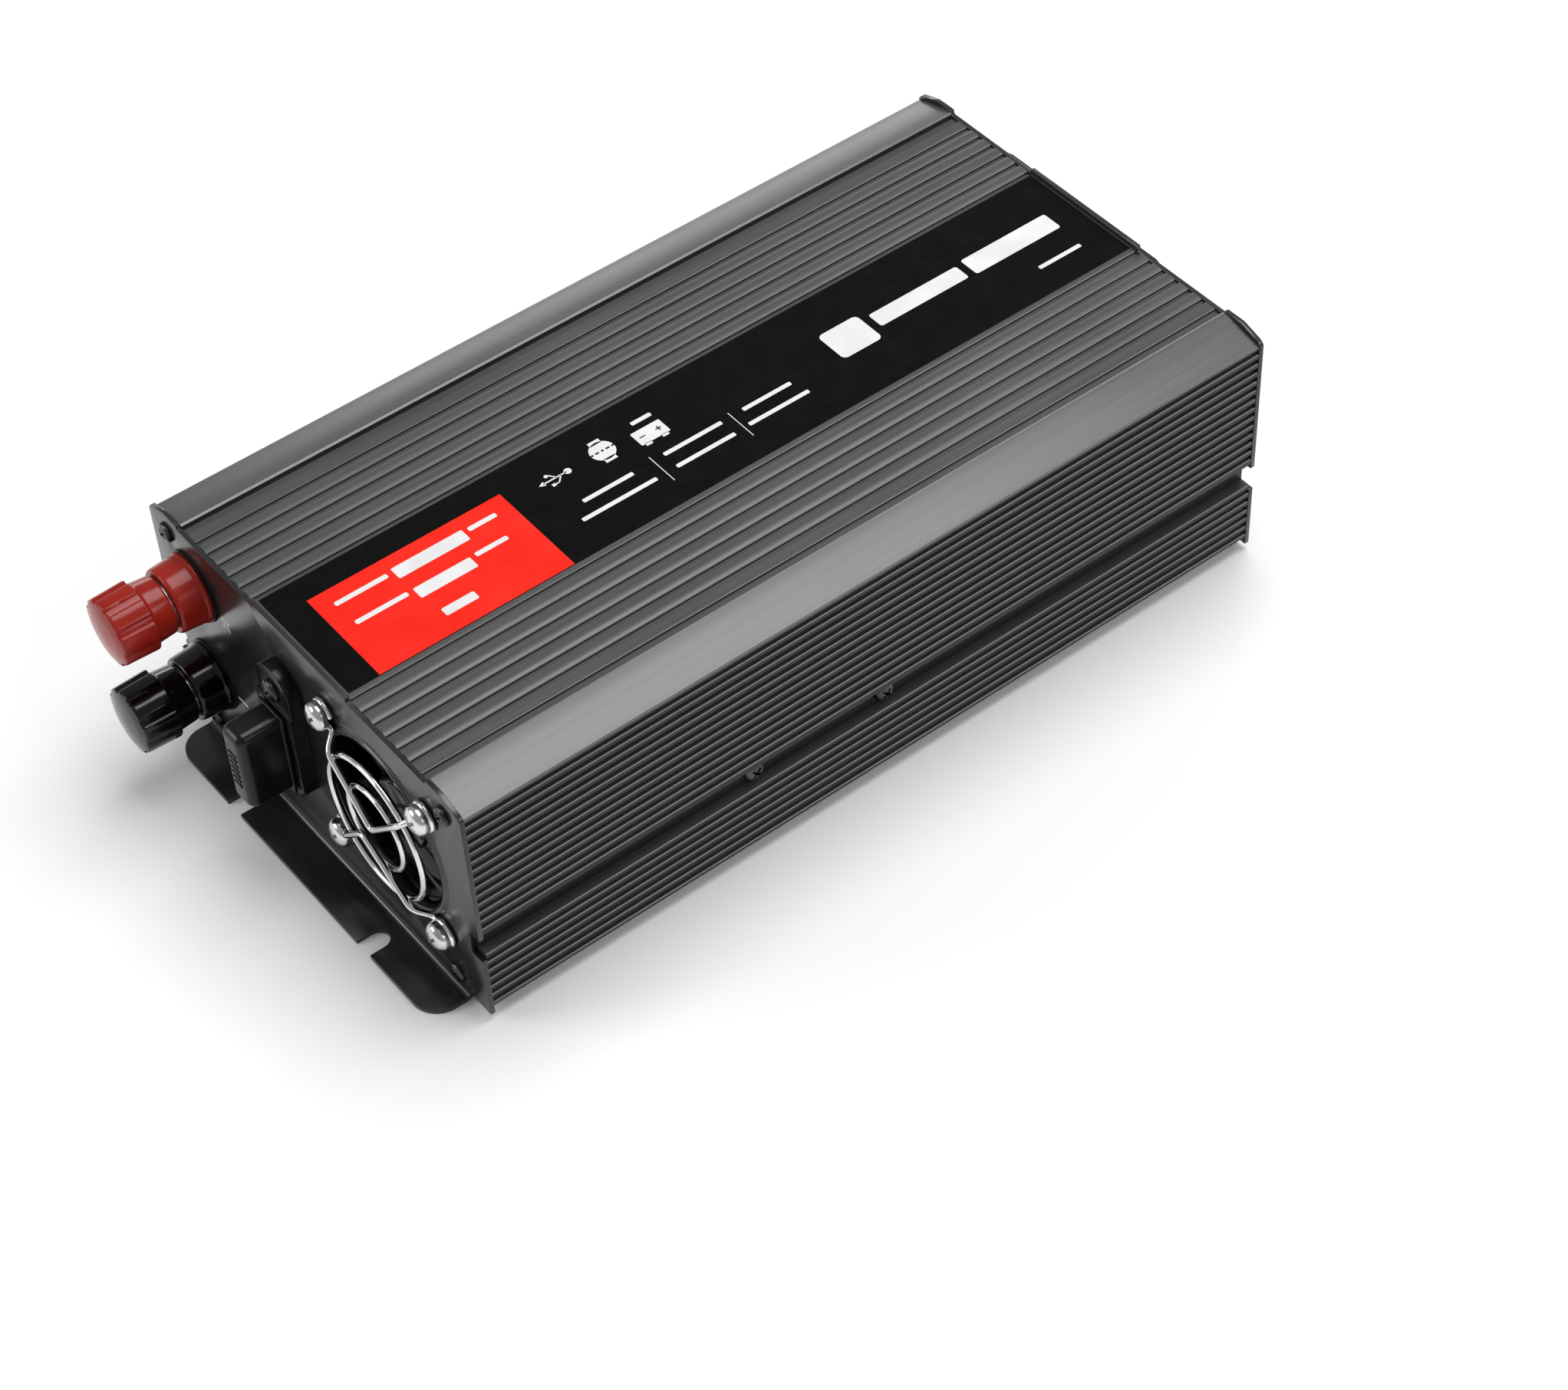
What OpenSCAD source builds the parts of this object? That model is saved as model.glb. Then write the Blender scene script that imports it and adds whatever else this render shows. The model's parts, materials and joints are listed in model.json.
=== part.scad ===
// Car power inverter: a finned two-piece aluminium housing closed by two bent
// steel end panels whose feet carry open mounting slots. One end has the
// battery posts, the fuse holder and the fan, the other the mains outlet.
// Millimetres. X is the width, Y the length with the battery end at -Y, Z up.
// The origin is the middle of the mounting plane, under the panels' feet.

/* [Housing] */
// Width over the fin tips
body_w = 143.2; // [140:0.2:150]
// Length of the housing without the end panels
body_l = 260; // [220:1:320]
// Height of the ribbed top above the mounting plane
top_z = 79; // [78.6:0.1:79.4]
// Height of the underside of the housing above the mounting plane
floor_z = 4.6; // [4:0.1:5]
// Wall thickness of floor and ceiling
wall = 2.4; // [2:0.1:2.6]

/* [Fins and channels] */
// Distance from one side fin to the next
fin_pitch = 3.22; // [3.2:0.01:3.24]
// Depth of the grooves between the side fins
fin_depth = 1.3; // [0.8:0.1:1.5]
// Number of grooves beside the upper shell
upper_grooves = 13; // [10:1:13]
// Number of grooves beside the lower shell
lower_grooves = 6; // [3:1:6]
// Half width of the flat band along the middle of the top
plateau_half = 22; // [20:0.5:22]
// Distance from one top channel to the next
channel_pitch = 5.31; // [5:0.01:5.31]
// Width of a top channel
channel_w = 1.6; // [1:0.1:2]
// Depth of a top channel
channel_depth = 0.75; // [0.4:0.05:1]

/* [End panels] */
// Thickness of the panel steel
sheet = 1.4; // [1.2:0.1:1.5]
// How far a foot's edge lies from the middle of the housing
foot_reach = 144; // [142:0.5:150]
// Width of a mounting slot
slot_w = 6.3; // [5:0.1:7]
// Distance between the two slots of one foot
slot_spacing = 63; // [56:1:70]

/* [Battery end] */
// Position across the housing of both battery posts
post_x = -54; // [-55:0.5:-52]
// Height of the positive post
positive_z = 61; // [59:0.5:62]
// Height of the negative post
negative_z = 27.2; // [26.5:0.1:30]
// Position across the housing of the fuse holder
fuse_x = -10.5; // [-12:0.1:-10]
// Height of the middle of the fuse
fuse_z = 39.6; // [39:0.1:40]
// Position across the housing of the fan
fan_x = 33; // [32:0.5:34]
// Height of the fan's axis
fan_z = 43.8; // [43.5:0.1:44]
// Distance between the fan's screws
fan_holes = 45; // [44.5:0.1:45.5]

/* [Mains end] */
// Position across the housing of the outlet
outlet_x = -16; // [-17:0.5:-15]
// Height of the outlet's axis
outlet_z = 46; // [45:0.5:47]
// Position across the housing of the rocker switch
rocker_x = 48; // [46:0.5:50]
// Tilt of the rocker when it is switched off
rocker_tilt = 9; // [6:1:10]

/* [Hidden] */
$fn = 48;
eps = 0.01;
half_w = body_w / 2;
half_l = body_l / 2;
face_y = half_l + sheet;            // outer face of an end panel
recess_x = half_w - 3.2;            // plain wall between the two fin stacks
inner_x = half_w - 5.6;             // inside face of the side walls
ledge_z = 25.8;                     // where the upper shell stands on the lower one
recess_top_z = 33.7;                // underside of the upper fin stack
first_groove_z = 75.11;             // middle of the highest groove
lower_groove_z = 23.39;             // middle of the highest groove of the lower shell
groove_w = fin_pitch / 2;
tip = 0.25;                         // chamfer of fin and land edges
bend_swell = 1.05;                  // a wire's thickness at its bends
ceiling_z = top_z - wall - 1;
side_screw_y = [-43, 0.5];
panel_top_screw = [63.9, 73.4];
panel_bottom_screw = [58, 7.2];
panel_half = half_w + 0.1;
foot_half = 62.5;
post_z = [positive_z, negative_z];
board_z = 13;
board_t = 1.6;
fuse_size = [5.1, 11.4, 19.1];      // plastic body of the blade fuse
outlet_y = face_y + 3.5;            // outer face of the outlet plate
well_r = 19.8;
well_depth = 17.5;
fan_bore = 25;
fan_depth = 15;
knob_step = 9.9;                    // from the panel to the back of a knob

// ---------------------------------------------------------------- shapes

// Points of an arc about c, from angle a0 to angle a1
function arc(c, r, a0, a1, n = 6) =
    [for (i = [0 : n]) let (a = a0 + (a1 - a0) * i / n) c + r * [cos(a), sin(a)]];

// The same outline on the other side, in the opposite order
function mirrored(points) =
    [for (i = [len(points) - 1 : -1 : 0]) [-points[i][0], points[i][1]]];

// Closed outline from its right half, which starts and ends on the middle line
function both_sides(points) = concat(points, mirrored(points));

// Rectangle about the origin with round corners
module rounded_rect(size, r) {
    union() {
        square([size[0] - 2 * r, size[1]], center = true);
        square([size[0], size[1] - 2 * r], center = true);
        for (x = [-1, 1], y = [-1, 1])
            translate([x * (size[0] / 2 - r), y * (size[1] / 2 - r)]) circle(r = r);
    }
}

// Outline in X and Z, extruded along +Y from y
module along_y(y, length) {
    translate([0, y + length, 0]) rotate([90, 0, 0]) linear_extrude(length) children();
}

// Rod along +Y from y to y + length
module rod(x, y, z, r, length) {
    translate([x, y, z]) rotate([-90, 0, 0]) cylinder(r = r, h = length);
}

// Body of revolution about Y at [x, z]; points are [radius, distance outwards
// from y], with outwards towards -Y (side = -1) or +Y (side = 1)
module turned(x, y, z, side, points) {
    translate([x, y, z]) rotate([-side * 90, 0, 0]) rotate_extrude() polygon(points);
}

// Straight wire between two points
module wire(a, b, r) {
    d = b - a;
    reach = norm([d[0], d[1]]);
    translate(a) rotate([0, atan2(reach, d[2]), atan2(d[1], d[0])]) cylinder(r = r, h = norm(d));
}

// Wire through a list of points, with ball-shaped bends a little fatter than it
module wire_path(points, r) {
    for (i = [0 : len(points) - 2]) wire(points[i], points[i + 1], r);
    for (i = [1 : len(points) - 2]) translate(points[i]) sphere(r = r * bend_swell);
}

// Pan head with a cross recess about Y, seated at y and pointing to side
module pan_head(x, y, z, side, r, h) {
    difference() {
        turned(x, y, z, side, concat(
            [[0, 0], [r, 0], [r, h * 0.35]],
            [for (a = [10 : 16 : 74]) [r * cos(a), h * 0.35 + h * 0.65 * sin(a)]],
            [[0, h]]
        ));
        translate([x, y + side * h, z]) rotate([0, 45, 0]) {
            cube([r * 1.1, h, r * 0.24], center = true);
            cube([r * 0.24, h, r * 1.1], center = true);
        }
    }
}

// Screw through y: head towards side, shank the other way
module screw(x, y, z, side, head_r, head_h, shank_r, shank_l) {
    pan_head(x, y, z, side, head_r, head_h);
    rod(x, side > 0 ? y - shank_l : y, z, shank_r, shank_l);
}

// Hexagonal nut about Y from y to y + h
module nut(x, y, z, across, h, bore_r) {
    translate([x, y + h, z]) rotate([90, 0, 0]) difference() {
        cylinder(r = across / sqrt(3), h = h, $fn = 6);
        translate([0, 0, -1]) cylinder(r = bore_r, h = h + 2, $fn = 32);
    }
}

// --------------------------------------------------------------- housing

// One top channel, from its inner lip at x to its outer lip
function channel(x) = [
    [x - tip, top_z], [x, top_z - tip], [x, top_z - channel_depth],
    [x + channel_w, top_z - channel_depth], [x + channel_w, top_z - tip],
    [x + channel_w + tip, top_z]
];

// One side groove whose middle is at z
function groove(z) = [
    [half_w, z + groove_w / 2 + tip], [half_w - tip, z + groove_w / 2],
    [half_w - fin_depth, z + groove_w / 2], [half_w - fin_depth, z - groove_w / 2],
    [half_w - tip, z - groove_w / 2], [half_w, z - groove_w / 2 - tip]
];

last_channel_x = plateau_half + 6 * channel_pitch;
ridge_x = 57.6;
ridge_rise = 0.95;
shoulder_x = half_w - 1.2;
shoulder_z = 77;

// Right half of the upper shell's outside, from the middle down to the joint
function upper_outside() = concat(
    [[0, top_z]],
    [for (k = [0 : 5]) each channel(plateau_half + k * channel_pitch)],
    [
        [last_channel_x - tip, top_z], [last_channel_x, top_z - tip],
        [last_channel_x, top_z - channel_depth], [ridge_x - 1, top_z - channel_depth],
        [ridge_x - 0.7, top_z + ridge_rise - 0.3]
    ],
    [for (t = [0 : 0.2 : 1])
        [ridge_x + (shoulder_x - ridge_x) * t,
         top_z + ridge_rise - (top_z + ridge_rise - shoulder_z) * pow(t, 1.3)]],
    arc([half_w - 1.2, shoulder_z - 1.2], 1.2, 72, 18, 4),
    [for (k = [0 : upper_grooves - 1]) each groove(first_groove_z - k * fin_pitch)],
    [[half_w, recess_top_z], [recess_x, recess_top_z], [recess_x, ledge_z]]
);

function upper_inside() = concat(
    [[inner_x, ledge_z]], arc([inner_x - 2, ceiling_z - 2], 2, 0, 90)
);

// Round rib along the housing that takes the screws of both panels
module screw_rib(p) {
    for (s = [-1, 1]) rod(s * p[0], -half_l, p[1], 3.1, body_l);
}

module screw_bores(p) {
    for (s = [-1, 1]) rod(s * p[0], -half_l - 1, p[1], 1.55, body_l + 2);
}

module top_housing() color("dimgray") difference() {
    union() {
        along_y(-half_l, body_l) polygon(both_sides(concat(upper_outside(), upper_inside())));
        screw_rib(panel_top_screw);
    }
    screw_bores(panel_top_screw);
    for (s = [-1, 1], y = side_screw_y)
        translate([s * (inner_x - 1), y, (ledge_z + recess_top_z) / 2])
            rotate([0, s * 90, 0]) cylinder(r = 1.6, h = 5);
}

function lower_outside() = concat(
    [[0, floor_z]], arc([half_w - 1, floor_z + 1], 1, -90, 0, 4),
    [for (k = [lower_grooves - 1 : -1 : 0])
        let (g = groove(lower_groove_z - k * fin_pitch)) each [for (i = [5 : -1 : 0]) g[i]]],
    [
        [half_w, ledge_z - tip], [half_w - tip, ledge_z],
        [inner_x - 0.05, ledge_z], [inner_x - 0.05, recess_top_z - 0.4],
        [inner_x - 2.2, recess_top_z - 0.4], [inner_x - 2.2, ledge_z],
        [inner_x, ledge_z - 2.2]
    ],
    arc([inner_x - 2, floor_z + wall + 2], 2, 0, -90), [[0, floor_z + wall]]
);

module bottom_housing() color("dimgray") difference() {
    union() {
        along_y(-half_l, body_l) polygon(both_sides(lower_outside()));
        screw_rib(panel_bottom_screw);
        for (s = [-1, 1], z = [board_z - 1.2, board_z + board_t + 0.3])
            translate([s * (inner_x - 1.5) - 2, -half_l, z]) cube([4, body_l, 1.2]);
    }
    screw_bores(panel_bottom_screw);
    for (s = [-1, 1], y = side_screw_y)
        translate([s * (inner_x - 3), y, (ledge_z + recess_top_z) / 2])
            rotate([0, s * 90, 0]) cylinder(r = 1.55, h = 4);
}

label_film = 0.15;

module top_label() color("black")
    translate([-21.6, -half_l + 1.1, top_z]) cube([41.8, body_l - 1.7, label_film]);

module end_panel_screws() color("black")
    for (side = [-1, 1], s = [-1, 1], p = [panel_top_screw, panel_bottom_screw])
        screw(s * p[0], side * face_y, p[1], side, 2.9, 1.6, 1.5, 9);

module side_screws() color("black")
    for (s = [-1, 1], y = side_screw_y)
        translate([s * recess_x, y, (ledge_z + recess_top_z) / 2])
            rotate([0, 0, -s * 90]) screw(0, 0, 0, 1, 3.1, 2.3, 1.5, 4.4);

// ------------------------------------------------------------ end panels

bend_in = 1.5;
notch = [67.1, 23.9, 32.1];         // inner edge, bottom and top of the side notch
relief = [62.5, 63.3, 5.5];         // slit between foot and corner

function panel_outline() = [
    [0, top_z + sheet], [plateau_half + 0.3, top_z + sheet], [plateau_half + 0.5, top_z],
    [57.1, top_z], [57.5, top_z + sheet], [64, top_z + sheet],
    [panel_half - 1, 78.2], [panel_half, 77],
    [panel_half, notch[2]], [notch[0], notch[2]], [notch[0], notch[1]],
    [panel_half, notch[1]], [panel_half, 2.6],
    [relief[1], 2.6], [relief[1], relief[2]], [relief[0], relief[2]],
    [relief[0], sheet + bend_in], [0, sheet + bend_in]
];

// Panel at the +Y end without its cut-outs, with the foot bent outwards
module panel_blank() {
    along_y(half_l, sheet) polygon(both_sides(panel_outline()));
    translate([-foot_half, 0, 0]) rotate([90, 0, 90]) linear_extrude(2 * foot_half)
        translate([face_y + bend_in, sheet + bend_in]) intersection() {
            difference() {
                circle(r = sheet + bend_in);
                circle(r = bend_in);
            }
            translate([-10, -10]) square(10);
        }
    foot_l = foot_reach - face_y - bend_in;
    difference() {
        translate([0, foot_reach - foot_l, 0]) linear_extrude(sheet) polygon(both_sides(concat(
            [[0, 0], [foot_half, 0]], arc([foot_half - 8, foot_l - 8], 8, 0, 90, 12), [[0, foot_l]]
        )));
        for (s = [-1, 1]) translate([s * slot_spacing / 2, foot_reach - 4.65, -1]) {
            cylinder(r = slot_w / 2, h = sheet + 2);
            translate([-slot_w / 2, 0, 0]) cube([slot_w, 10, sheet + 2]);
        }
    }
}

module panel_screw_holes() {
    for (s = [-1, 1], p = [panel_top_screw, panel_bottom_screw])
        rod(s * p[0], half_l - 1, p[1], 1.7, sheet + 2);
}

module fan_corners() {
    for (x = [-1, 1], z = [-1, 1])
        translate([fan_x + x * fan_holes / 2, 0, fan_z + z * fan_holes / 2]) children();
}

module dc_end_panel() color("darkslategray") difference() {
    union() {
        mirror([0, 1, 0]) panel_blank();
        turned(fan_x, -face_y + eps, fan_z, -1,
            [[fan_bore, 0], [fan_bore + 2, 0], [fan_bore + 1.4, 0.75], [fan_bore + 0.3, 0.75],
             [fan_bore, 0.5]]);
    }
    mirror([0, 1, 0]) panel_screw_holes();
    for (z = post_z) rod(post_x, -face_y - 1, z, 5.2, sheet + 2);
    rod(fan_x, -face_y - 1, fan_z, fan_bore, sheet + 2);
    fan_corners() rod(0, -face_y - 1, 0, 2.1, sheet + 2);
    translate([fuse_x - 5.8, -face_y - 1, fuse_z - 11.6]) cube([11.6, sheet + 2, 23.2]);
    rod(-10, -face_y - 1, 60, 1.7, sheet + 2);
}

module ac_end_panel() color("darkslategray") difference() {
    panel_blank();
    panel_screw_holes();
    translate([-37.5, half_l - 1, 17.5]) cube([64, sheet + 2, 55.8]);
    translate([rocker_x - 6.6, half_l - 1, outlet_z - 9.7]) cube([13.2, sheet + 2, 19.4]);
    for (k = [0 : 4]) translate([rocker_x - 7, half_l - 1, 15.5 + k * 3.6])
        cube([14, sheet + 2, 1.8]);
}

// --------------------------------------------------------- battery posts

module terminal_gaskets() color("black")
    for (z = post_z) turned(post_x, -face_y, z, -1, [[5.2, 0], [10.8, 0], [10.8, 0.5], [5.2, 0.5]]);

module post_base(z) {
    turned(post_x, -face_y, z, -1,
        [[3.1, 0.5], [10.4, 0.5], [10.4, 1.2], [9.9, 2.2], [9.5, 8.8], [9.1, 9.3], [3.1, 9.3]]);
}

module positive_terminal_base() color("red") post_base(positive_z);

module negative_terminal_base() color("black") post_base(negative_z);

module terminal_studs() color("silver")
    for (z = post_z) rod(post_x, -face_y - 22, z, 3, 41);

module terminal_bushes() color("black")
    for (z = post_z) translate([post_x, -half_l, z]) rotate([-90, 0, 0]) difference() {
        union() {
            translate([0, 0, -sheet]) cylinder(r = 5, h = sheet + 1);
            cylinder(r = 8, h = 2);
        }
        translate([0, 0, -5]) cylinder(r = 3.1, h = 10);
    }

module terminal_nuts() color("silver")
    for (z = post_z) {
        nut(post_x, 2 - half_l, z, 10, 5, 3.02);
        nut(post_x, 9.4 - half_l, z, 10, 5, 3.02);
    }

module clamp_washer(z) {
    turned(post_x, -face_y, z, -1, [[3.06, 9.35], [7, 9.35], [7, 9.8], [3.06, 9.8]]);
}

module positive_clamp_washer() color("silver") clamp_washer(positive_z);

module negative_clamp_washer() color("silver") clamp_washer(negative_z);

knob_lands = 9;

// Knob: a smooth collar, then a grip with broad lands, and a low domed end
module knob(z) difference() {
    turned(post_x, -face_y, z, -1, concat(
        [[4.5, knob_step], [8, knob_step], [8.4, knob_step + 0.4], [8.9, 15.9], [9.6, 16.2],
         [10.3, 16.9], [9.85, 26], [9.2, 26.7], [8.8, 26.9]],
        [for (t = [0.75 : -0.25 : 0]) [8.8 * t, 28 - 1.1 * t * t]],
        [[0, 24.1], [4.5, 24.1]]
    ));
    for (k = [0 : knob_lands - 1])
        translate([post_x, -face_y - 16.9, z]) rotate([0, k * 360 / knob_lands, 0])
            translate([0, -10.2, 11.6]) rotate([-90, 0, 0]) cylinder(r = 2.1, h = 9.8);
}

module positive_knob() color("red") knob(positive_z);

module negative_knob() color("black") knob(negative_z);

module knob_insert(z) {
    turned(post_x, -face_y, z, -1, [[3.05, knob_step], [4.5, knob_step], [4.5, 24], [3.05, 24]]);
}

module positive_knob_insert() color("gold") knob_insert(positive_z);

module negative_knob_insert() color("gold") knob_insert(negative_z);

// ----------------------------------------------------------- fuse holder

holder_depth = 4.6;
cap_size = [9.6, 13.9, 27.2];
fuse_y = -face_y - 16;              // outer end of the fuse's plastic body
blade_z = 6.6;                      // from the middle of the fuse to a blade

module fuse_holder_body() color("black") difference() {
    union() {
        translate([fuse_x - 8.1, -face_y - holder_depth, 25.5]) cube([16, holder_depth, 29.5]);
        translate([fuse_x - 6.4, -face_y - 4.6, 23.5]) cube([12.6, 4.6, 2.1]);
        translate([fuse_x - 5.5, -face_y - eps, fuse_z - 11.3]) cube([11, 18, 22.6]);
        rod(-10, -face_y - 4, 60, 7.6, 4);
        translate([-17.6, -face_y - 4, 54]) cube([15.2, 4, 6]);
    }
    translate([fuse_x - 4.7, -face_y - holder_depth - 1, fuse_z - 13.2]) cube([9.4, 5, 26.4]);
    translate([fuse_x - 2.9, -face_y - holder_depth - 1, fuse_z - 9.9]) cube([5.8, 22, 19.8]);
    for (s = [-1, 1]) translate([fuse_x - 2.4, -face_y, fuse_z + s * blade_z - 2.6])
        cube([4.8, 30, 5.2]);
    rod(-10, -face_y - 5, 60, 1.6, 6);
}

module fuse_clips() color("gold")
    for (s = [-1, 1]) translate([fuse_x, -face_y - 3.4, fuse_z + s * blade_z]) difference() {
        translate([-2.4, 0, -2.6]) cube([4.8, 25.5, 5.2]);
        translate([-0.65, -1, -3.6]) cube([1.3, 12, 7.2]);
    }

// Hollow cap with rounded front edges and a thin lip against the body
module fuse_holder_cap() color("black") difference() {
    r = 3.2;
    y0 = -face_y - holder_depth;
    union() {
        intersection() {
            translate([fuse_x - cap_size[0] / 2, 0, 0]) rotate([90, 0, 90])
                linear_extrude(cap_size[0]) translate([y0 - cap_size[1] / 2, fuse_z]) union() {
                    rounded_rect([cap_size[1], cap_size[2]], r);
                    translate([0, -cap_size[2] / 2]) square([cap_size[1] / 2, cap_size[2]]);
                }
            translate([0, 0, fuse_z - 20]) linear_extrude(40) translate([fuse_x, y0 - cap_size[1] / 2])
                union() {
                    rounded_rect([cap_size[0], cap_size[1]], 2.2);
                    translate([-cap_size[0] / 2, 0]) square([cap_size[0], cap_size[1] / 2]);
                }
        }
        translate([fuse_x - 5.3, y0 - 1.3, fuse_z - 14.3]) cube([10.6, 1, 28.6]);
        translate([fuse_x - 4.3, y0 - 1, fuse_z - 12.8]) cube([8.6, 4.6, 25.6]);
    }
    translate([fuse_x - 3.1, y0 - 12.1, fuse_z - 10.3]) cube([6.2, 20, 20.6]);
}

module fuse_holder_screw() color("black") screw(-10, -face_y - 4, 60, -1, 3.3, 2, 1.5, 12);

module blade_fuse() color("green") difference() {
    translate([fuse_x - fuse_size[0] / 2, fuse_y, fuse_z - fuse_size[2] / 2]) union() {
        cube([fuse_size[0], 2.6, fuse_size[2]]);
        translate([0.6, 2.6, 1.2]) cube([fuse_size[0] - 1.2, fuse_size[1] - 2.6, fuse_size[2] - 2.4]);
    }
    for (s = [-1, 1]) translate([fuse_x - 0.33, fuse_y + 3, fuse_z + s * blade_z - 2.6])
        cube([0.66, 20, 5.2]);
}

module blade_fuse_element() color("silver")
    for (s = [-1, 1]) translate([fuse_x - 0.33, fuse_y + 3, fuse_z + s * blade_z - 2.6])
        cube([0.66, 15.5, 5.2]);

// ------------------------------------------------------------------- fan

fan_size = 53;
hub_r = 10.6;
blade_count = 7;
fan_back_y = fan_depth - half_l;

module fan_frame() color("black") difference() {
    union() {
        difference() {
            along_y(-half_l, fan_depth) translate([fan_x, fan_z])
                rounded_rect([fan_size, fan_size], 3.5);
            rod(fan_x, -half_l - 1, fan_z, fan_bore, fan_depth + 2);
            for (a = [0, 90]) translate([fan_x, -half_l + fan_depth / 2, fan_z]) rotate([0, a, 0])
                cube([fan_size + 9, fan_depth - 7, 31], center = true);
        }
        difference() {
            rod(fan_x, -half_l, fan_z, fan_bore + 1.2, fan_depth);
            rod(fan_x, -half_l - 1, fan_z, fan_bore, fan_depth + 2);
        }
        rod(fan_x, fan_back_y - 2.2, fan_z, 11, 2.2);
        for (a = [15, 105, 195, 285]) translate([fan_x, fan_back_y - 2.2, fan_z])
            rotate([0, a, 0]) translate([10, 0, -1.5]) cube([15.4, 2.2, 3]);
    }
    rod(fan_x, fan_back_y - 5, fan_z, 1.06, 10);
    fan_corners() rod(0, -half_l - 1, 0, 2.15, fan_depth + 2);
}

module fan_stator() color("sienna") difference() {
    rod(fan_x, fan_back_y - 9, fan_z, 8, 6.8);
    rod(fan_x, fan_back_y - 10, fan_z, 2, 9);
}

// Cup-shaped hub with pitched blades
module fan_rotor() color("black") {
    difference() {
        rod(fan_x, fan_back_y - 12.6, fan_z, hub_r, 10);
        rod(fan_x, fan_back_y - 11.2, fan_z, hub_r - 1.4, 10);
        rod(fan_x, fan_back_y - 14, fan_z, 1, 5);
    }
    intersection() {
        for (k = [0 : blade_count - 1]) translate([fan_x, fan_back_y - 7.6, fan_z])
            rotate([0, k * 360 / blade_count, 0]) translate([hub_r - 0.4, 0, 0]) rotate([38, 0, 0])
                translate([0, -0.6, -6]) cube([15, 1.2, 12]);
        rod(fan_x, fan_back_y - 12.6, fan_z, fan_bore - 0.8, 10);
    }
}

module fan_shaft() color("silver") rod(fan_x, fan_back_y - 12.4, fan_z, 1, 12.2);

wire_r = 0.9;
guard_out = 4.9;                    // from the panel to the middle of the crossing wires
ring_out = 3.05;                    // the welds between rings and wires are left open

// Wire from one screw to the bend near the middle and on to the next screw
module guard_cross(from, bend, to) {
    y_low = -face_y - wire_r;
    y_high = -face_y - guard_out;
    ends = [from, to];
    middle = [bend[0], y_high, bend[1]];
    for (e = ends) {
        d = (bend - e) / norm(bend - e);
        foot = e + 4.6 * d;
        rise = e + 8.5 * d;
        wire_path([[foot[0], y_low, foot[1]], [rise[0], y_high, rise[1]], middle], wire_r);
    }
    translate(middle) sphere(r = wire_r * bend_swell);
}

module guard_ring(r, y, x, z) {
    translate([x, y, z]) rotate([90, 0, 0]) rotate_extrude() translate([r, 0])
        circle(r = wire_r);
}

module fan_guard() color("silver") {
    h = fan_holes / 2;
    guard_ring(20.8, -face_y - ring_out, fan_x, fan_z);
    guard_ring(12.1, -face_y - ring_out, fan_x, fan_z);
    for (x = [-1, 1], z = [-1, 1])
        guard_ring(3.6, -face_y - wire_r, fan_x + x * h, fan_z + z * h);
    guard_cross([fan_x - h, fan_z + h], [fan_x + 0.6, fan_z + 0.6], [fan_x + h, fan_z + h]);
    guard_cross([fan_x - h, fan_z - h], [fan_x - 5, fan_z - 5.5], [fan_x + h, fan_z - h]);
}

module fan_screws() color("silver")
    fan_corners() screw(0, -face_y - 2 * wire_r - 0.05, 0, -1, 4.2, 3.4, 2, 22);

module fan_nuts() color("silver")
    fan_corners() nut(0, fan_back_y, 0, 7, 2.6, 2.02);

// ------------------------------------------------------------- mains end

pin_offset = 9.5;                   // from the outlet's axis to each contact
pin_bore = 2.45;
usb_at = [17.4, 60];
lens_at = [[17.4, 38], [17.4, 28]];

module ac_outlet() color("black") difference() {
    union() {
        along_y(face_y, 3.5) translate([-5.5, 45.3]) rounded_rect([68, 60], 4);
        rod(outlet_x, outlet_y - well_depth - 2, outlet_z, well_r + 1.6, well_depth);
        translate([-36.5, half_l - 2, 18.6]) cube([62, sheet + 2 + eps, 53.6]);
    }
    rod(outlet_x, outlet_y - well_depth, outlet_z, well_r, well_depth + 5);
    for (s = [-1, 1]) rod(outlet_x + s * pin_offset, outlet_y - 30, outlet_z, pin_bore, 20);
    for (s = [-1, 1]) translate([outlet_x - 3.5, outlet_y - 30, outlet_z + s * (well_r - 0.4) - 1.4])
        cube([7, 28.5, 2.8]);
    translate([usb_at[0] - 7, 0, usb_at[1] - 3.3]) cube([14, 200, 6.6]);
    for (p = lens_at) rod(p[0], 100, p[1], 2.55, 50);
}

module outlet_contacts() color("gold")
    for (s = [-1, 1]) difference() {
        rod(outlet_x + s * pin_offset, outlet_y - 37.5, outlet_z, 3.3, 18);
        rod(outlet_x + s * pin_offset, outlet_y - 34, outlet_z, pin_bore, 20);
    }

module outlet_earth_clips() color("silver")
    for (s = [-1, 1]) translate([outlet_x, outlet_y - 27, outlet_z + s * (well_r - 0.4)]) {
        translate([-3, 0, -0.4]) cube([6, 24, 0.8]);
        translate([-3, 14, s > 0 ? -1.4 : 0.4]) cube([6, 8, 1]);
    }

module usb_shell() color("silver") difference() {
    translate([usb_at[0] - 6.9, outlet_y - 14, usb_at[1] - 3.2]) cube([13.8, 13.6, 6.4]);
    translate([usb_at[0] - 6.3, outlet_y - 13.4, usb_at[1] - 2.6]) cube([12.6, 20, 5.2]);
}

module usb_tongue() color("white")
    translate([usb_at[0] - 5.8, outlet_y - 13.4, usb_at[1] + 0.5]) cube([11.6, 11.5, 1.8]);

module lens(p) {
    turned(p[0], outlet_y - 6, p[1], 1, [[0, 0], [2.5, 0], [2.5, 6.2], [2, 6.9], [0, 7.3]]);
}

module power_lens() color("green") lens(lens_at[0]);

module fault_lens() color("red") lens(lens_at[1]);

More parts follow.
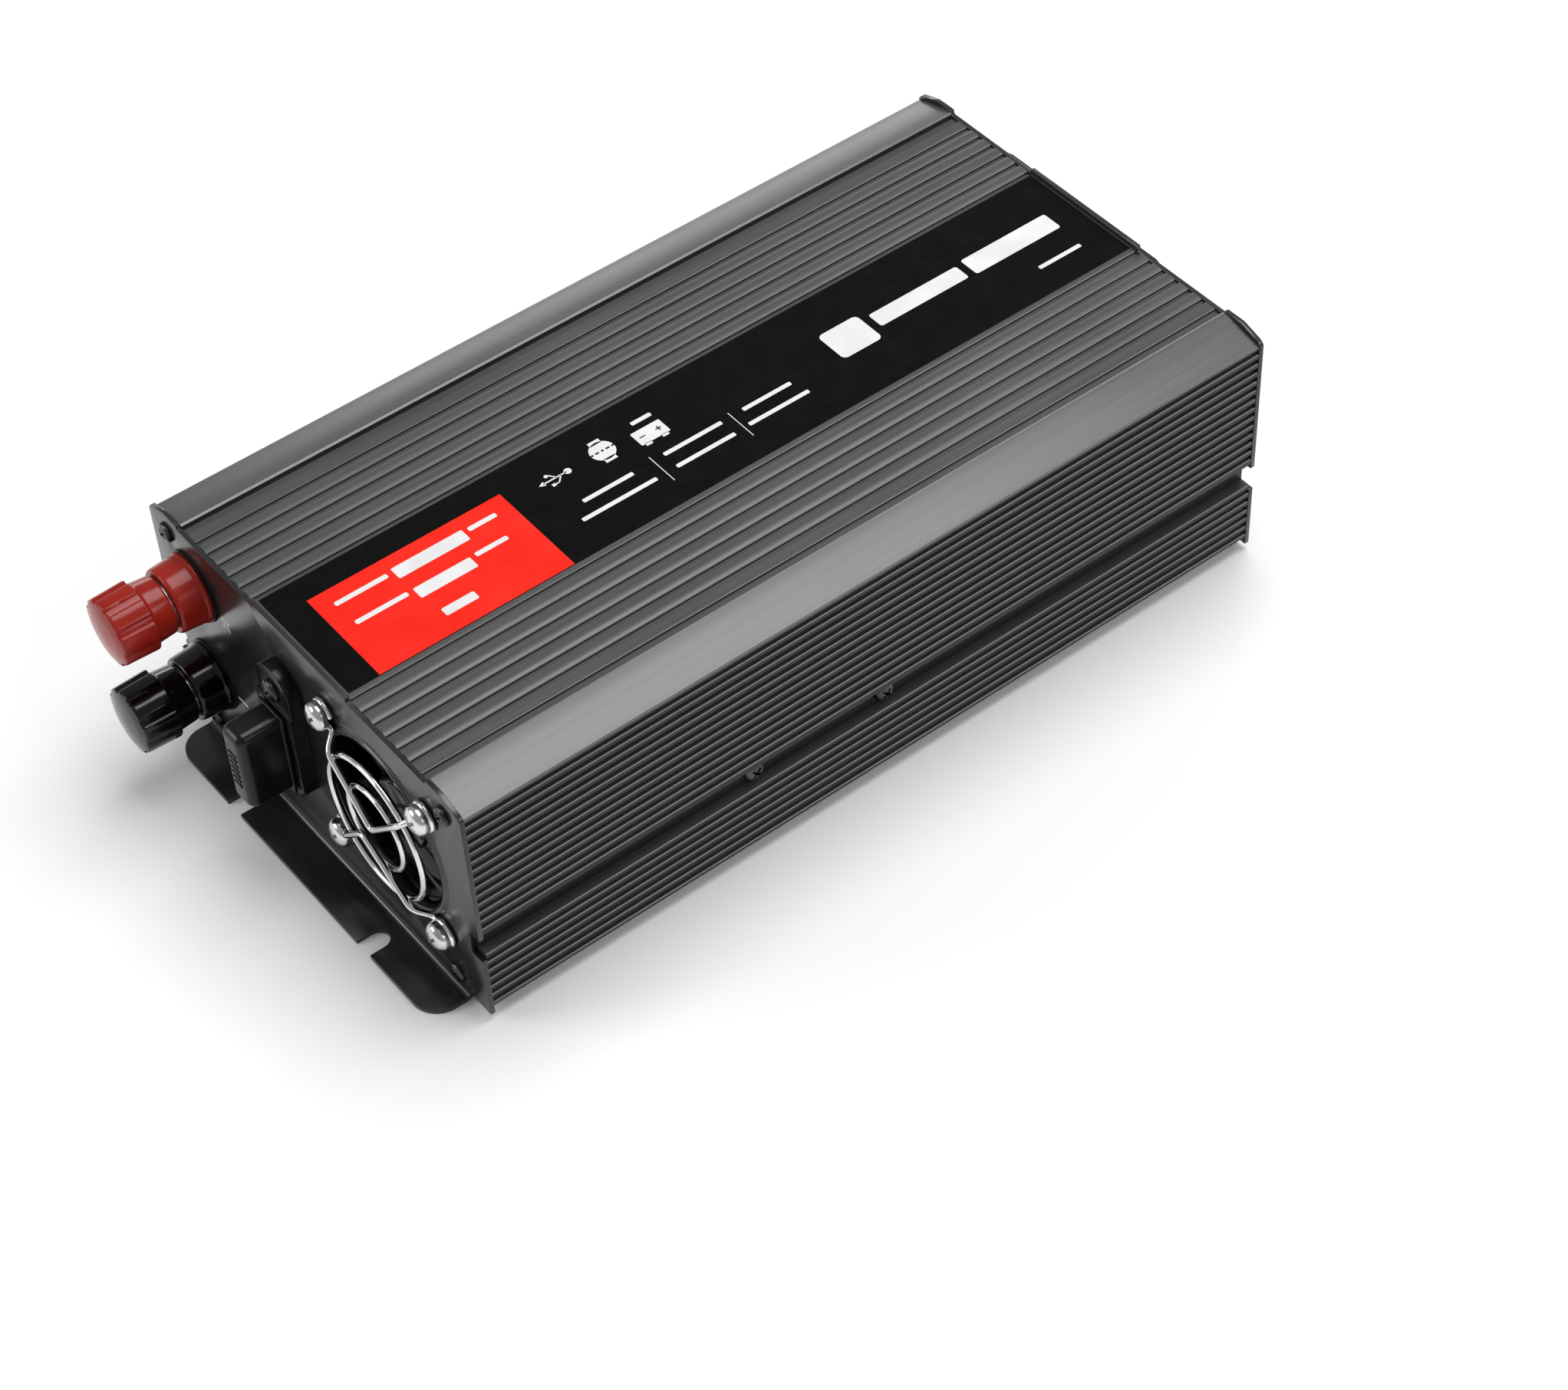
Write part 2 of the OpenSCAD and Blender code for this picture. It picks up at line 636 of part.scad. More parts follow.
module rocker_housing() color("black") difference() {
    union() {
        translate([rocker_x - 7.6, face_y, outlet_z - 10.6]) cube([15.2, 1.8, 21.2]);
        translate([rocker_x - 6.4, face_y - 16, outlet_z - 9.5]) cube([12.8, 16.1, 19]);
    }
    translate([rocker_x - 5.2, face_y - 14, outlet_z - 8.4]) cube([10.4, 20, 16.8]);
    translate([rocker_x - 6, face_y - 1.2, outlet_z]) rotate([0, 90, 0]) cylinder(r = 1.05, h = 12);
}

// Rocker with two sloped faces, on a cross pin; off, it leans by rocker_tilt
module rocker() color("dimgray")
    translate([rocker_x, face_y - 1.2, outlet_z]) rotate([rocker_tilt, 0, 0]) {
        translate([-4.8, 0, 0]) rotate([90, 0, 90]) linear_extrude(9.6) polygon(concat(
            [[-5, -3], [-1, -7.2], [3.6, -7.6]],
            [for (t = [-0.75 : 0.25 : 0.75]) [2.2 + 1.5 * t * t, 7.6 * t]],
            [[3.6, 7.6], [-1, 7.2], [-5, 3]]
        ));
        translate([-5.8, 0, 0]) rotate([0, 90, 0]) cylinder(r = 1, h = 11.6);
    }

module rocker_terminals() color("gold")
    for (s = [-1, 0, 1]) translate([rocker_x - 2.4, face_y - 24, outlet_z + s * 6.4 - 0.4])
        cube([4.8, 8, 0.8]);

// ------------------------------------------------------------- internals

board_half = inner_x - 0.4;
board_y = [-110, 108];
board_top = board_z + board_t;
transformer_y = [-72, -34, 4];
input_caps = [for (k = [0 : 5]) [-38 + 15 * k, -97]];
output_caps = [[-24, 44], [2, 44]];
transistor_y = [for (k = [0 : 5]) -84 + 17 * k];

module main_circuit_board() color("darkgreen")
    translate([-board_half, board_y[0], board_z])
        cube([2 * board_half, board_y[1] - board_y[0], board_t]);

module control_board() color("darkgreen")
    translate([38, 30, board_top]) cube([board_t, 62, 32]);

// Two E-shaped ferrite halves closed round each winding
module transformer_cores() color("dimgray")
    for (y = transformer_y) translate([0, y, board_top + 20]) difference() {
        translate([-17.5, -7, -17.5]) cube([35, 14, 35]);
        for (s = [-1, 1]) translate([s * 9.5 - 4, -8, -12]) cube([8, 16, 24]);
    }

module transformer_windings() color("goldenrod")
    for (y = transformer_y) translate([0, y, board_top + 8.5]) difference() {
        translate([-13.2, -13.2, 0]) cube([26.4, 26.4, 23]);
        translate([-5.6, -7.1, -1]) cube([11.2, 14.2, 25]);
    }

module input_capacitors() color("darkslateblue")
    for (p = input_caps) translate([p[0], p[1], board_top]) cylinder(r = 6.3, h = 25);

module output_capacitors() color("darkslateblue")
    for (p = output_caps) translate([p[0], p[1], board_top]) cylinder(r = 11, h = 40);

module power_transistors() color("black")
    for (s = [-1, 1], y = transistor_y) translate([s * (board_half - 4.6), y, board_top]) {
        translate([-2.3, -5, 4]) cube([4.6, 10, 15]);
        for (k = [-1, 0, 1]) translate([-0.4, k * 2.54 - 0.4, 0]) cube([0.8, 0.8, 4.1]);
    }

module transistor_clamp_bars() color("silver")
    for (s = [-1, 1]) translate([s * (board_half - 8.4) - 1.5, transistor_y[0] - 8, board_top + 10])
        cube([3, 101, 8]);

choke_at = [-44, 82];

module choke_core() color("gold") translate([choke_at[0], choke_at[1], board_top + 1.6])
    difference() {
        cylinder(r = 13, h = 9);
        translate([0, 0, -1]) cylinder(r = 7.4, h = 11);
    }

module choke_winding() color("peru")
    for (a = [0 : 24 : 336]) translate([choke_at[0], choke_at[1], board_top + 1.6]) rotate([0, 0, a])
        difference() {
            translate([5.8, -0.9, -1.6]) cube([8.8, 1.8, 12.2]);
            translate([7.3, -1, 0]) cube([5.7, 2, 9]);
        }

module buzzer() color("black") translate([14, 84, board_top]) difference() {
    cylinder(r = 6, h = 8.5);
    translate([0, 0, 6]) cylinder(r = 1, h = 5);
}

// Ring lug on a stud, and its lead that drops to the board at this reach beside the post
module battery_lead(z, reach) {
    lug_y = 7 - half_l;
    difference() {
        union() {
            rod(post_x, lug_y, z, 6, 1.2);
            translate([post_x, lug_y, z - 2.5]) cube([15, 1.2, 5]);
        }
        rod(post_x, lug_y - 1, z, 3.1, 4);
    }
    wire_path([
        [post_x + 11, lug_y + 2.6, z], [post_x + reach - 4, lug_y + 2.6, z],
        [post_x + reach, lug_y + 8, z - 4], [post_x + reach, lug_y + 16, (z + board_top) / 2],
        [post_x + reach, lug_y + 16, board_top]
    ], 2);
}

module positive_battery_lead() color("red") battery_lead(positive_z, 26);

module negative_battery_lead() color("black") battery_lead(negative_z, 20);

module outlet_leads() color("brown")
    for (x = [outlet_x - pin_offset, outlet_x + pin_offset]) wire_path([
        [x, outlet_y - 37.5, outlet_z], [x, 91, outlet_z], [x, 87, outlet_z - 5],
        [x, 87, board_top]
    ], 1.4);

module fan_lead() color("red")
    for (x = [fan_x - 1.2, fan_x + 1.2]) wire_path([
        [x, fan_back_y, fan_z - 8], [x, fan_back_y + 4, fan_z - 8],
        [x + 11, fan_back_y + 8, fan_z - 20], [x + 11, fan_back_y + 8, board_top]
    ], 0.6);

top_housing();
bottom_housing();
dc_end_panel();
ac_end_panel();
top_label();
end_panel_screws();
side_screws();
terminal_gaskets();
positive_terminal_base();
negative_terminal_base();
terminal_studs();
terminal_nuts();
terminal_bushes();
positive_clamp_washer();
negative_clamp_washer();
positive_knob();
negative_knob();
positive_knob_insert();
negative_knob_insert();
fuse_holder_body();
fuse_clips();
fuse_holder_cap();
fuse_holder_screw();
blade_fuse();
blade_fuse_element();
fan_frame();
fan_stator();
fan_rotor();
fan_shaft();
fan_guard();
fan_screws();
fan_nuts();
ac_outlet();
outlet_contacts();
outlet_earth_clips();
usb_shell();
usb_tongue();
power_lens();
fault_lens();
rocker_housing();
rocker();
rocker_terminals();
main_circuit_board();
control_board();
transformer_cores();
transformer_windings();
input_capacitors();
output_capacitors();
power_transistors();
transistor_clamp_bars();
choke_core();
choke_winding();
buzzer();
positive_battery_lead();
negative_battery_lead();
outlet_leads();
fan_lead();
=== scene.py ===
"""Car power inverter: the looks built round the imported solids. Metres, Z up."""

import json
from math import atan2, cos, pi, radians, sin

import bmesh
import bpy
from mathutils import Matrix, Vector


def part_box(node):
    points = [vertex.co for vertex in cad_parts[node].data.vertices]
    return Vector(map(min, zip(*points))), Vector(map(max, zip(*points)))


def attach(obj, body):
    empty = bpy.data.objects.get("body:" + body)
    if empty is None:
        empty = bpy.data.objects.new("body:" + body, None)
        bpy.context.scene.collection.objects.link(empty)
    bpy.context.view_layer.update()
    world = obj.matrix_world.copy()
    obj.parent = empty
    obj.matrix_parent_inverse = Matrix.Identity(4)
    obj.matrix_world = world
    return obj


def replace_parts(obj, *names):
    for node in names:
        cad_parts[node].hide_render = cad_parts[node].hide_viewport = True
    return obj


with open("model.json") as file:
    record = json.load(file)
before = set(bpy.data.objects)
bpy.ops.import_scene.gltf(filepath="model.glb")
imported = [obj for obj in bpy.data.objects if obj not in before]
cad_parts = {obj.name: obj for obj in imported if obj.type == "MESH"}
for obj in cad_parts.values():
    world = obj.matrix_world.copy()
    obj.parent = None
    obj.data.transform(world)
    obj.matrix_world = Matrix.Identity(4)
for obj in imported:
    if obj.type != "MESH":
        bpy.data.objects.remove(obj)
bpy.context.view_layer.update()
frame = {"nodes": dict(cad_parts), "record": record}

MM = 0.001
DOWN_Y = Vector((0, -1, 0))
UP = Vector((0, 0, 1))


# ------------------------------------------------------------------ shader maths

class Field:
    """A node's output that adds and multiplies like a number."""

    def __init__(self, finish, socket):
        self.finish = finish
        self.socket = socket

    def math(self, operation, *values):
        return self.finish.node("ShaderNodeMath", {"operation": operation}, list(values))

    def __add__(self, other):
        return self.math("ADD", self, other)

    def __sub__(self, other):
        return self.math("SUBTRACT", self, other)

    def __rsub__(self, other):
        return self.math("SUBTRACT", other, self)

    def __mul__(self, other):
        return self.math("MULTIPLY", self, other)

    __radd__ = __add__
    __rmul__ = __mul__

    def ramp(self, low, high, to_low=0.0, to_high=1.0):
        """This field taken from the range low to high to another range, and held at its ends."""
        return self.finish.node(
            "ShaderNodeMapRange", {"clamp": True},
            {"Value": self, "From Min": low, "From Max": high, "To Min": to_low, "To Max": to_high})


class Finish:
    """A material under construction, with the whole surface's constants set on its shader."""

    def __init__(self, name, **constants):
        self.material = bpy.data.materials.new(name)
        self.material.use_nodes = True
        self.tree = self.material.node_tree
        self.shader = self.tree.nodes["Principled BSDF"]
        for key, value in constants.items():
            self.shader.inputs[key.replace("_", " ")].default_value = value
        self.place = self.node("ShaderNodeTexCoord", {}, {}, "Object")

    def node(self, kind, settings, values, output=0):
        """A node of this kind: settings first, then its sockets' values or links."""
        made = self.tree.nodes.new(kind)
        for key, value in settings.items():
            setattr(made, key, value)
        pairs = values.items() if isinstance(values, dict) else enumerate(values)
        for key, value in pairs:
            if isinstance(value, Field):
                self.tree.links.new(value.socket, made.inputs[key])
            else:
                made.inputs[key].default_value = value
        return Field(self, made.outputs[output])

    def scaled(self, scale):
        """Object coordinates stretched by three factors."""
        return self.node("ShaderNodeMapping", {}, {"Vector": self.place, "Scale": scale})

    def noise(self, scale, detail=3.0, stretch=(1, 1, 1), roughness=0.5):
        return self.node(
            "ShaderNodeTexNoise", {},
            {"Vector": self.scaled(stretch), "Scale": scale, "Detail": detail,
             "Roughness": roughness})

    def mix(self, factor, first, second):
        """Colour between two colours or colour fields."""
        made = self.tree.nodes.new("ShaderNodeMix")
        made.data_type = "RGBA"
        for index, value in ((0, factor), (6, first), (7, second)):
            if isinstance(value, Field):
                self.tree.links.new(value.socket, made.inputs[index])
            else:
                made.inputs[index].default_value = value
        return Field(self, made.outputs[2])

    def bump(self, height, distance, strength=1.0):
        return self.node(
            "ShaderNodeBump", {},
            {"Height": height, "Distance": distance, "Strength": strength}, "Normal")

    def set(self, **fields):
        for key, value in fields.items():
            self.tree.links.new(value.socket, self.shader.inputs[key.replace("_", " ")])
        return self.material


def shade(level, warmth=0.0):
    """Opaque grey of this level, a little warm or cool."""
    return (level * (1 + warmth), level, level * (1 - warmth), 1)


# ------------------------------------------------------------------ finishes

def anodised():
    """Dark grey anodised extrusion: drawn lines along its length, and painted shade where it faces
    aside.
    """
    f = Finish("dark_anodised_aluminium", Metallic=0.5, Specular_IOR_Level=0.35)
    lines = f.noise(2600, 4, (1, 0.006, 1))
    broad = f.noise(420, 2, (1, 0.01, 1))
    cloud = f.noise(18, 3)
    pits = f.noise(3500, 1).ramp(0.68, 0.8)
    tone = lines * 0.5 + broad * 0.3 + cloud * 0.2
    facing = f.node("ShaderNodeNewGeometry", {}, {}, "Normal")
    # Painted shade: faces turned aside from straight up get a near-black colour, and upward faces
    # keep the anodised tone.
    painted_facing_shade = f.node("ShaderNodeSeparateXYZ", {}, [facing], "Z").ramp(0.15, 0.7)
    colour = f.mix(tone.ramp(0.35, 0.65), (0.078, 0.080, 0.078, 1), (0.108, 0.110, 0.107, 1))
    colour = f.mix(painted_facing_shade, (0.020, 0.022, 0.019, 1), colour)
    colour = f.mix(pits * 0.35, colour, shade(0.04))
    return f.set(
        Base_Color=colour,
        Roughness=(lines * 0.6 + cloud * 0.4).ramp(0.3, 0.7, 0.27, 0.37),
        Normal=f.bump(lines * 0.7 + pits * 0.3, 0.02 * MM, 0.4))


def powder_coat():
    """Black powder coat: orange peel, faint cloudiness, a few specks of dust."""
    f = Finish("black_powder_coat", Specular_IOR_Level=0.55)
    peel = f.noise(900, 2)
    cloud = f.noise(25, 3)
    dust = f.node("ShaderNodeTexVoronoi", {"feature": "F1"}, {"Vector": f.place, "Scale": 210.0},
                  "Distance").ramp(0.045, 0.02)
    sparse = f.noise(60, 1).ramp(0.62, 0.66)
    colour = f.mix(cloud.ramp(0.35, 0.65), (0.010, 0.011, 0.010, 1), (0.017, 0.018, 0.017, 1))
    colour = f.mix(dust * sparse * 0.6, colour, shade(0.4))
    return f.set(
        Base_Color=colour,
        Roughness=cloud.ramp(0.3, 0.7, 0.2, 0.28),
        Normal=f.bump(peel, 0.03 * MM, 0.35))


def vinyl():
    """Gloss black label film with a slight ripple and fine dust."""
    f = Finish("gloss_black_film", Specular_IOR_Level=0.1)
    ripple = f.noise(140, 2)
    dust = f.noise(2600, 1).ramp(0.74, 0.8)
    colour = f.mix(dust * 0.5, (0.0025, 0.0025, 0.0025, 1), shade(0.06))
    return f.set(
        Base_Color=colour,
        Roughness=(ripple + dust * 0.6).ramp(0.3, 1.2, 0.16, 0.4),
        Normal=f.bump(ripple, 0.02 * MM, 0.25))


def ink(name, dark, light):
    """Screen-printed ink: a fine mesh and slight unevenness."""
    f = Finish(name, Specular_IOR_Level=0.3)
    grain = f.noise(3200, 2)
    cloud = f.noise(90, 2)
    colour = f.mix((grain * 0.4 + cloud * 0.6).ramp(0.35, 0.65), dark, light)
    return f.set(Base_Color=colour, Roughness=cloud.ramp(0.3, 0.7, 0.24, 0.32),
                 Normal=f.bump(grain, 0.01 * MM, 0.3))


def moulded(name, dark, light, rough=(0.3, 0.42), grain=1200, depth=0.02, coat=0.0):
    """Moulded plastic: fine skin grain, soft mottling and a few rubbed spots."""
    f = Finish(name, Coat_Weight=coat, Coat_Roughness=0.12, Specular_IOR_Level=0.28)
    skin = f.noise(grain, 2)
    cloud = f.noise(70, 3)
    rubbed = f.noise(260, 4).ramp(0.58, 0.72)
    colour = f.mix(cloud.ramp(0.35, 0.65), dark, light)
    colour = f.mix(rubbed * 0.15, colour, tuple(min(1, c * 1.8) for c in light[:3]) + (1,))
    return f.set(
        Base_Color=colour,
        Roughness=(cloud * 0.6 + rubbed * 0.4).ramp(0.2, 0.7, rough[0], rough[1]),
        Normal=f.bump(skin, depth * MM, 0.35))


def bright_metal(name, dark, light, rough=(0.08, 0.2), grain=1800):
    """Plated or polished metal with hairlines, stains and small dents."""
    f = Finish(name, Metallic=1.0)
    hair = f.noise(grain, 3, (1, 1, 0.12))
    stain = f.noise(160, 3)
    colour = f.mix(stain.ramp(0.35, 0.7), dark, light)
    return f.set(
        Base_Color=colour,
        Roughness=(hair * 0.4 + stain * 0.6).ramp(0.3, 0.7, rough[0], rough[1]),
        Normal=f.bump(hair * 0.5 + stain * 0.5, 0.02 * MM, 0.25))


def wound_wire():
    """Enamelled copper wire laid turn beside turn."""
    f = Finish("enamelled_copper", Metallic=0.8, Coat_Weight=0.4, Coat_Roughness=0.1)
    turns = f.node("ShaderNodeTexWave", {"wave_type": "BANDS", "bands_direction": "Z"},
                   {"Vector": f.place, "Scale": 190.0, "Distortion": 0.4, "Detail": 1.0}, "Fac")
    stain = f.noise(120, 2)
    # The colour follows each turn's band and is darker where the bump is low: painted shade in the
    # creases between turns, mixed with real stains.
    colour = f.mix(turns * 0.6 + stain * 0.4, (0.22, 0.06, 0.015, 1), (0.62, 0.26, 0.09, 1))
    return f.set(Base_Color=colour, Roughness=stain.ramp(0.3, 0.7, 0.22, 0.36),
                 Normal=f.bump(turns, 0.15 * MM, 0.7))


def circuit_board():
    """Solder mask over copper: track-like cells, small tinned pads."""
    f = Finish("green_circuit_board", Coat_Weight=0.3, Coat_Roughness=0.1)
    cells = f.node("ShaderNodeTexVoronoi", {"distance": "CHEBYCHEV", "feature": "F1"},
                   {"Vector": f.place, "Scale": 150.0}, "Distance")
    tracks = cells.ramp(0.28, 0.34)
    pads = cells.ramp(0.1, 0.06)
    mottle = f.noise(300, 2)
    colour = f.mix(tracks * 0.7 + mottle * 0.3, (0.012, 0.10, 0.035, 1), (0.02, 0.19, 0.06, 1))
    colour = f.mix(pads, colour, (0.55, 0.55, 0.52, 1))
    return f.set(Base_Color=colour, Roughness=mottle.ramp(0.3, 0.7, 0.3, 0.45),
                 Metallic=pads * 0.9, Normal=f.bump(tracks, 0.04 * MM, 0.5))


def lamp_lens(name, dark, light):
    f = Finish(name, Coat_Weight=0.6, Coat_Roughness=0.04, Transmission_Weight=0.25)
    swirl = f.noise(500, 2)
    return f.set(Base_Color=f.mix(swirl, dark, light), Roughness=swirl.ramp(0.3, 0.7, 0.1, 0.2),
                 Normal=f.bump(swirl, 0.02 * MM, 0.3))


def studio_paper():
    f = Finish("pale_paper", Specular_IOR_Level=0.2)
    fibre = f.noise(900, 3)
    cloud = f.noise(3, 2)
    return f.set(Base_Color=f.mix(cloud, shade(0.86), shade(0.9)),
                 Roughness=fibre.ramp(0.3, 0.7, 0.7, 0.85))


ANODISED = anodised()
POWDER = powder_coat()
VINYL = vinyl()
RED_INK = ink("red_ink", (0.74, 0.010, 0.002, 1), (0.80, 0.014, 0.004, 1))
WHITE_INK = ink("white_ink", shade(0.62), shade(0.72))
BLACK_INK = ink("black_ink", shade(0.006), shade(0.012))
BLACK_SCREW = bright_metal("black_zinc", shade(0.035), shade(0.11), (0.22, 0.38))
BLACK_PLASTIC = moulded("black_moulding", shade(0.003), shade(0.006), (0.22, 0.34))
BLACK_GLOSS = moulded("black_gloss_moulding", shade(0.002), shade(0.004), (0.1, 0.2), coat=0.15)
RED_PLASTIC = moulded("red_moulding", (0.22, 0.010, 0.005, 1), (0.29, 0.015, 0.008, 1),
                      (0.16, 0.26))
WHITE_PLASTIC = moulded("white_moulding", shade(0.7), shade(0.8))
CHROME = bright_metal("bright_chrome", shade(0.68), shade(0.84), (0.06, 0.13))
NICKEL = bright_metal("bright_nickel", (0.60, 0.60, 0.59, 1), (0.78, 0.78, 0.77, 1), (0.14, 0.26))
BRASS = bright_metal("turned_brass", (0.55, 0.38, 0.14, 1), (0.74, 0.55, 0.24, 1), (0.18, 0.32))
ZINC = bright_metal("stamped_zinc", shade(0.42), shade(0.6), (0.3, 0.45))
MILLED = bright_metal("milled_aluminium", shade(0.55), shade(0.7), (0.25, 0.4))
COPPER = wound_wire()
BOARD = circuit_board()
FERRITE = moulded("sintered_ferrite", shade(0.02), shade(0.045), (0.55, 0.75), 2400, 0.05)
SLEEVE = moulded("capacitor_sleeve", (0.006, 0.008, 0.03, 1), (0.01, 0.014, 0.05, 1), (0.2, 0.35))
FUSE_PLASTIC = moulded("green_fuse_plastic", (0.02, 0.22, 0.05, 1), (0.04, 0.34, 0.09, 1))
RED_WIRE = moulded("red_insulation", (0.3, 0.01, 0.01, 1), (0.42, 0.02, 0.015, 1))
BROWN_WIRE = moulded("brown_insulation", (0.09, 0.035, 0.012, 1), (0.14, 0.05, 0.02, 1))
GREEN_LENS = lamp_lens("green_lens", (0.02, 0.3, 0.04, 1), (0.05, 0.5, 0.09, 1))
RED_LENS = lamp_lens("red_lens", (0.4, 0.01, 0.01, 1), (0.62, 0.03, 0.02, 1))

SLOT_FINISH = {
    "housing": ANODISED, "panel": POWDER, "label": VINYL, "black_screw": BLACK_SCREW,
    "black_plastic": BLACK_PLASTIC, "rocker": BLACK_GLOSS, "red_plastic": RED_PLASTIC,
    "plated_steel": NICKEL, "chrome_wire": CHROME, "brass": BRASS, "fuse_plastic": FUSE_PLASTIC,
    "zinc": ZINC, "fan_plastic": BLACK_GLOSS, "copper": COPPER, "white_plastic": WHITE_PLASTIC,
    "green_lens": GREEN_LENS, "red_lens": RED_LENS, "board": BOARD, "ferrite": FERRITE,
    "capacitor": SLEEVE, "transistor": BLACK_PLASTIC, "aluminium_bar": MILLED,
    "red_wire": RED_WIRE, "black_wire": BLACK_PLASTIC, "brown_wire": BROWN_WIRE,
}
slot_of = {part["node"]: part["material_slot"] for part in frame["record"]["subparts"]}
body_of = {
    node: body
    for body, nodes in frame["record"]["behaviour"]["bodies"].items()
    for node in nodes
}


# ------------------------------------------------------------------ mesh tools

def piece(name, mesh_data, material, node):
    """A finished piece that rides with the node's body and wears the material it is given."""
    if isinstance(mesh_data, bmesh.types.BMesh):
        mesh = bpy.data.meshes.new(name)
        mesh_data.to_mesh(mesh)
        mesh_data.free()
    else:
        mesh = mesh_data
    mesh.materials.clear()
    mesh.materials.append(material)
    obj = bpy.data.objects.new(name, mesh)
    bpy.context.collection.objects.link(obj)
    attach(obj, body_of[node])
    return obj


def soften(bm, angle):
    """Smooth faces, with a hard line left at every edge sharper than angle."""
    for face in bm.faces:
        face.smooth = True
    for edge in bm.edges:
        if len(edge.link_faces) == 2:
            edge.smooth = edge.calc_face_angle(0) < radians(angle)


def dressed(node, round_over=0.0, segments=2, crease=32, soft=40, reshape=None):
    """A welded copy of the node with its edges rounded over, shown in its place."""
    bm = bmesh.new()
    bm.from_mesh(frame["nodes"][node].data)
    bmesh.ops.remove_doubles(bm, verts=bm.verts, dist=1e-6)
    bmesh.ops.dissolve_degenerate(bm, edges=bm.edges, dist=1e-6)
    if reshape:
        reshape(bm)
    if round_over:
        sharp = [e for e in bm.edges
                 if len(e.link_faces) == 2 and e.calc_face_angle(0) > radians(crease)]
        bmesh.ops.bevel(bm, geom=sharp, offset=round_over * MM, offset_type="OFFSET",
                        affect="EDGES", segments=segments, profile=0.5, material=-1,
                        clamp_overlap=True)
    soften(bm, soft)
    obj = piece(node + "_dressed", bm, SLOT_FINISH[slot_of[node]], node)
    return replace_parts(obj, node)


def turned(bm, profile, centre, outward, steps):
    """Spins points of (radius, distance) about outward through centre."""
    outward = outward.normalized()
    side = UP if abs(outward.z) < 0.9 else Vector((1, 0, 0))
    verts = [bm.verts.new(centre + outward * (d * MM) + side * (r * MM)) for r, d in profile]
    edges = [bm.edges.new(pair) for pair in zip(verts, verts[1:])]
    bmesh.ops.spin(bm, geom=verts + edges, cent=centre, axis=outward, angle=2 * pi,
                   steps=steps, use_merge=True, use_duplicate=False)
    bmesh.ops.remove_doubles(bm, verts=bm.verts, dist=1e-6)
    bmesh.ops.recalc_face_normals(bm, faces=bm.faces)


def join(bm, other):
    """Adds another mesh's faces to bm and frees the other."""
    mesh = bpy.data.meshes.new("joined")
    other.to_mesh(mesh)
    other.free()
    bm.from_mesh(mesh)
    bpy.data.meshes.remove(mesh)


def rounded(profile, amount, steps=3):
    """The same profile with its inner corners replaced by small curves."""
    points = [Vector(p) for p in profile]
    made = [points[0]]
    for before, corner, after in zip(points, points[1:], points[2:]):
        start = corner + (before - corner).normalized() * min(amount, (before - corner).length / 2)
        end = corner + (after - corner).normalized() * min(amount, (after - corner).length / 2)
        for i in range(steps + 1):
            t = i / steps
            made.append(start * (1 - t) ** 2 + corner * 2 * t * (1 - t) + end * t * t)
    made.append(points[-1])
    return [tuple(p) for p in made]


# ------------------------------------------------------------------ housing and panels

LAND_TOP = 79.0
LAND_PITCH = 5.31
LAND_MIDDLE = 25.455
LAND_HALF = 1.6
LAND_CROWN = 0.17
LANDS = 5
LAND_CUTS = (-0.9, -0.7, -0.45, -0.2, 0, 0.2, 0.45, 0.7, 0.9)
NEAR_TOP = 0.01


def crowned_lands(bm):
    """Raises each land between two top channels into a shallow crown."""
    for side in (-1, 1):
        for land in range(LANDS):
            middle = side * (LAND_MIDDLE + land * LAND_PITCH)
            for share in LAND_CUTS:
                top = [f for f in bm.faces
                       if min(v.co.z for v in f.verts) > (LAND_TOP - NEAR_TOP) * MM]
                geom = top + list({e for f in top for e in f.edges})
                geom += list({v for f in top for v in f.verts})
                bmesh.ops.bisect_plane(
                    bm, geom=geom, dist=1e-7, plane_no=(1, 0, 0),
                    plane_co=((middle + share * LAND_HALF) * MM, 0, 0))
            for vert in bm.verts:
                off = abs(vert.co.x / MM - middle) / LAND_HALF
                if off < 1 and abs(vert.co.z / MM - LAND_TOP) < NEAR_TOP:
                    vert.co.z += LAND_CROWN * (1 - off * off) * MM


dressed("top_housing", 0, soft=26, reshape=crowned_lands)
dressed("bottom_housing", 0, soft=26)
for panel in ("dc_end_panel", "ac_end_panel"):
    dressed(panel, 0.35, 3, crease=50)
for screws in ("end_panel_screws", "side_screws", "fuse_holder_screw"):
    dressed(screws, 0.12, 2, crease=40)
dressed("fan_screws", 0.18, 3, crease=40)
dressed("top_label")
dressed("terminal_gaskets", 0.12)
dressed("fuse_holder_body", 0.45, 3)
dressed("fan_frame", 0.25, 2, crease=50)
dressed("ac_outlet", 0.5, 3, crease=50)
dressed("rocker_housing", 0.4, 3, crease=50)
dressed("rocker", 0.45, 3, crease=30)
dressed("usb_shell", 0.12)
dressed("usb_tongue", 0.15)
dressed("outlet_earth_clips", 0.15)
dressed("power_lens", 0.1)
dressed("fault_lens", 0.1)


# ------------------------------------------------------------------ battery posts

KNOB_LANDS = 9
GRIP_START = 6.6
GRIP_END = 16.5
LAND_HEIGHT = 0.62
LAND_SHARE = 0.66


